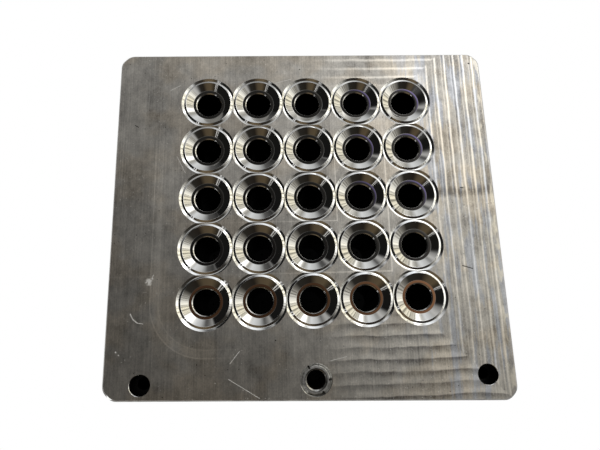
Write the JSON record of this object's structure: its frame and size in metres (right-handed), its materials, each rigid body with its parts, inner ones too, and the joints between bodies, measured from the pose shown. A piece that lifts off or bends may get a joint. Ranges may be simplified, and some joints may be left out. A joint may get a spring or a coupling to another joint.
{
  "type": "injection mould half",
  "caption": "Square milled steel mould plate holding a grid of polished, cone-mouthed cavity inserts, with a guide bush and screw holes along its front edge.",
  "frame": {"origin": "middle of the plate's bounding rectangle, on its back face", "axes": "+Z out of the parting face, +Y towards the back edge, +X to the right; the row of three holes is along the front (-Y) edge"},
  "size_m": [0.353, 0.3307, 0.045],
  "materials": {
    "milled_steel": "milled, with cutter tracks and handling marks",
    "polished_steel": "turned and polished tool steel",
    "ground_steel": "ground hardened steel"
  },
  "bodies": {
    "root": {"cavity_plate": "milled_steel", "guide_bush": "ground_steel", "cavity_insert_r1c1": "polished_steel", "cavity_insert_r1c2": "polished_steel", "cavity_insert_r1c3": "polished_steel", "cavity_insert_r1c4": "polished_steel", "cavity_insert_r1c5": "polished_steel", "cavity_insert_r2c1": "polished_steel", "cavity_insert_r2c2": "polished_steel", "cavity_insert_r2c3": "polished_steel", "cavity_insert_r2c4": "polished_steel", "cavity_insert_r2c5": "polished_steel", "cavity_insert_r3c1": "polished_steel", "cavity_insert_r3c2": "polished_steel", "cavity_insert_r3c3": "polished_steel", "cavity_insert_r3c4": "polished_steel", "cavity_insert_r3c5": "polished_steel", "cavity_insert_r4c1": "polished_steel", "cavity_insert_r4c2": "polished_steel", "cavity_insert_r4c3": "polished_steel", "cavity_insert_r4c4": "polished_steel", "cavity_insert_r4c5": "polished_steel", "cavity_insert_r5c1": "polished_steel", "cavity_insert_r5c2": "polished_steel", "cavity_insert_r5c3": "polished_steel", "cavity_insert_r5c4": "polished_steel", "cavity_insert_r5c5": "polished_steel"}
  },
  "joints": []
}
